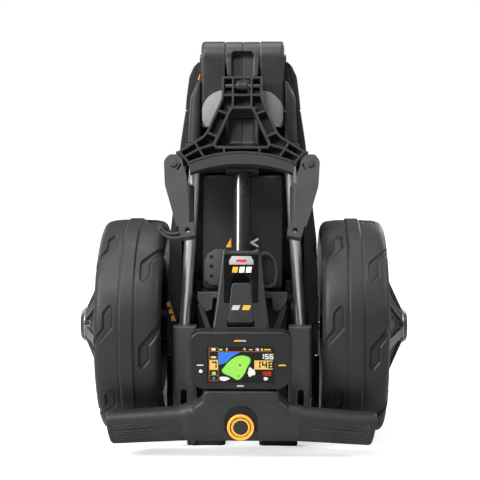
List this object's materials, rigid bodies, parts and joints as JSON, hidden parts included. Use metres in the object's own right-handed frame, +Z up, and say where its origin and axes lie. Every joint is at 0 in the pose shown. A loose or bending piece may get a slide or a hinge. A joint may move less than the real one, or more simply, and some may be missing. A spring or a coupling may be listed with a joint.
{
  "type": "electric golf trolley",
  "caption": "Folded electric golf trolley standing on its rear wheels, with a T-bar handle, display, speed dial, bag bracket, battery and folded front wheel.",
  "frame": {"origin": "on the floor, under the middle of the folded trolley's bounding box", "axes": "+Z up as the folded trolley stands, +X across it along the rear axle, -Y towards the folded handle and display"},
  "size_m": [0.44, 0.376, 0.5235],
  "materials": {
    "charcoal_plastic": "moulded charcoal plastic, fine texture",
    "dark_plastic": "near-black moulded plastic",
    "grey_plastic": "light grey moulded plastic",
    "gunmetal": "satin gunmetal paint over aluminium tube",
    "bright_aluminium": "brushed anodised aluminium",
    "steel": "zinc-plated steel",
    "tyre": "solid grey-black tyre",
    "grip_rubber": "soft grip rubber with a honeycomb texture",
    "foot_rubber": "black rubber",
    "accent_yellow": "yellow-orange plastic",
    "gloss_black": "gloss black plastic",
    "screen": "display window",
    "cell_can": "sleeved battery cell"
  },
  "bodies": {
    "chassis": {"tub_shell": "charcoal_plastic", "tub_top_cap": "charcoal_plastic", "tub_front_panel": "charcoal_plastic", "hinge_cheeks": "charcoal_plastic", "hinge_pads": "grey_plastic", "main_hinge_pin": "steel", "side_tubes": "bright_aluminium", "tube_sleeves": "charcoal_plastic", "stand_feet": "foot_rubber", "side_fairings": "dark_plastic", "cross_bar": "gunmetal", "battery_case": "charcoal_plastic", "battery_cells": "cell_can", "battery_handle": "charcoal_plastic", "battery_tray": "grey_plastic", "motor_case": "steel", "gearbox_case": "dark_plastic", "gearbox_cover": "dark_plastic", "axle_tubes": "gunmetal", "axle_bearings": "steel", "drive_cover": "dark_plastic", "chassis_base": "gunmetal", "front_hinge_pin": "steel"},
    "upper_frame": {"knuckle_halves": "charcoal_plastic", "collar_halves": "charcoal_plastic", "centre_tube": "gunmetal", "lever_housing": "charcoal_plastic", "housing_inlay": "gloss_black"},
    "lever": {"release_lever": "charcoal_plastic"},
    "bracket": {"bag_bracket": "charcoal_plastic", "bracket_pin": "steel", "cradle_pad": "foot_rubber", "arm_bolts": "steel"},
    "arm_left": {"bag_arm_left": "charcoal_plastic", "strap_hook": "grey_plastic"},
    "arm_right": {"bag_arm_right": "charcoal_plastic"},
    "handle": {"handle_body": "charcoal_plastic", "grip_left": "grip_rubber", "grip_right": "grip_rubber", "display_housing": "charcoal_plastic", "display_screen": "screen", "dial_surround": "gloss_black"},
    "dial": {"dial_knob": "dark_plastic", "dial_rings": "accent_yellow"},
    "dial_push": {"dial_button": "dark_plastic"},
    "axle": {"drive_axle": "steel"},
    "pinion": {"motor_pinion": "steel"},
    "wheel_left": {"rear_tyre_left": "tyre", "rear_rim_left": "grey_plastic", "wheel_cover_left": "grey_plastic"},
    "wheel_right": {"rear_tyre_right": "tyre", "rear_rim_right": "grey_plastic", "wheel_cover_right": "grey_plastic"},
    "release_left": {"wheel_button_left": "accent_yellow"},
    "release_right": {"wheel_button_right": "accent_yellow"},
    "fork": {"front_fork": "gunmetal", "lower_cradle": "charcoal_plastic", "front_axle": "steel"},
    "front_wheel": {"front_tyre": "tyre", "front_rim": "grey_plastic"}
  },
  "joints": [
    {"name": "main_fold", "type": "hinge", "parent": "chassis", "child": "upper_frame", "pos_m": [0, -0.052, 0.5], "axis": [-1, 0, 0], "range_deg": [0, 165]},
    {"name": "handle_fold", "type": "hinge", "parent": "upper_frame", "child": "handle", "pos_m": [0, -0.1524, 0.13796], "axis": [1, 0, 0], "range_deg": [0, 80]},
    {"name": "lever_pull", "type": "hinge", "parent": "upper_frame", "child": "lever", "pos_m": [0, -0.15643, 0.16907], "axis": [1, 0, 0], "range_deg": [0, 14], "stiffness_Nm_per_rad": 0.6, "springref_deg": -5.73},
    {"name": "bracket_swing", "type": "hinge", "parent": "upper_frame", "child": "bracket", "pos_m": [0, -0.08986, 0.46453], "axis": [-1, 0, 0], "range_deg": [0, 100]},
    {"name": "arm_left_swing", "type": "hinge", "parent": "bracket", "child": "arm_left", "pos_m": [-0.086, -0.11736, 0.36537], "axis": [0, 0.9636, -0.2672], "range_deg": [0, 35]},
    {"name": "arm_right_swing", "type": "hinge", "parent": "bracket", "child": "arm_right", "pos_m": [0.086, -0.11736, 0.36537], "axis": [0, -0.9636, 0.2672], "range_deg": [0, 35]},
    {"name": "dial_turn", "type": "hinge", "parent": "handle", "child": "dial", "pos_m": [0, -0.17558, 0.04282], "axis": [0, 0.9945, 0.1045], "continuous": true},
    {"name": "dial_press", "type": "slide", "parent": "dial", "child": "dial_push", "axis": [0, 0.9945, 0.1045], "range_m": [0, 0.002], "stiffness_N_per_m": 300, "springref_m": -0.001},
    {"name": "axle_spin", "type": "hinge", "parent": "chassis", "child": "axle", "pos_m": [0, -0.012, 0.145], "axis": [1, 0, 0], "continuous": true},
    {"name": "pinion_spin", "type": "hinge", "parent": "chassis", "child": "pinion", "pos_m": [0, -0.03, 0.098], "axis": [1, 0, 0], "continuous": true},
    {"name": "wheel_left_spin", "type": "hinge", "parent": "chassis", "child": "wheel_left", "pos_m": [0, -0.012, 0.145], "axis": [1, 0, 0], "continuous": true},
    {"name": "wheel_right_spin", "type": "hinge", "parent": "chassis", "child": "wheel_right", "pos_m": [0, -0.012, 0.145], "axis": [1, 0, 0], "continuous": true},
    {"name": "release_left_press", "type": "slide", "parent": "wheel_left", "child": "release_left", "axis": [1, 0, 0], "range_m": [0, 0.003], "stiffness_N_per_m": 400, "springref_m": -0.001},
    {"name": "release_right_press", "type": "slide", "parent": "wheel_right", "child": "release_right", "axis": [-1, 0, 0], "range_m": [0, 0.003], "stiffness_N_per_m": 400, "springref_m": -0.001},
    {"name": "fork_fold", "type": "hinge", "parent": "chassis", "child": "fork", "pos_m": [0, 0.026, 0.062], "axis": [-1, 0, 0], "range_deg": [0, 115]},
    {"name": "front_wheel_spin", "type": "hinge", "parent": "fork", "child": "front_wheel", "pos_m": [0, 0.09313, 0.39194], "axis": [1, 0, 0], "continuous": true}
  ],
  "couplings": [
    {"joint": "handle_fold", "follows": "main_fold", "ratio": 0.48485},
    {"joint": "pinion_spin", "follows": "axle_spin", "ratio": -3},
    {"joint": "wheel_left_spin", "follows": "axle_spin", "ratio": 1},
    {"joint": "wheel_right_spin", "follows": "axle_spin", "ratio": 1}
  ]
}
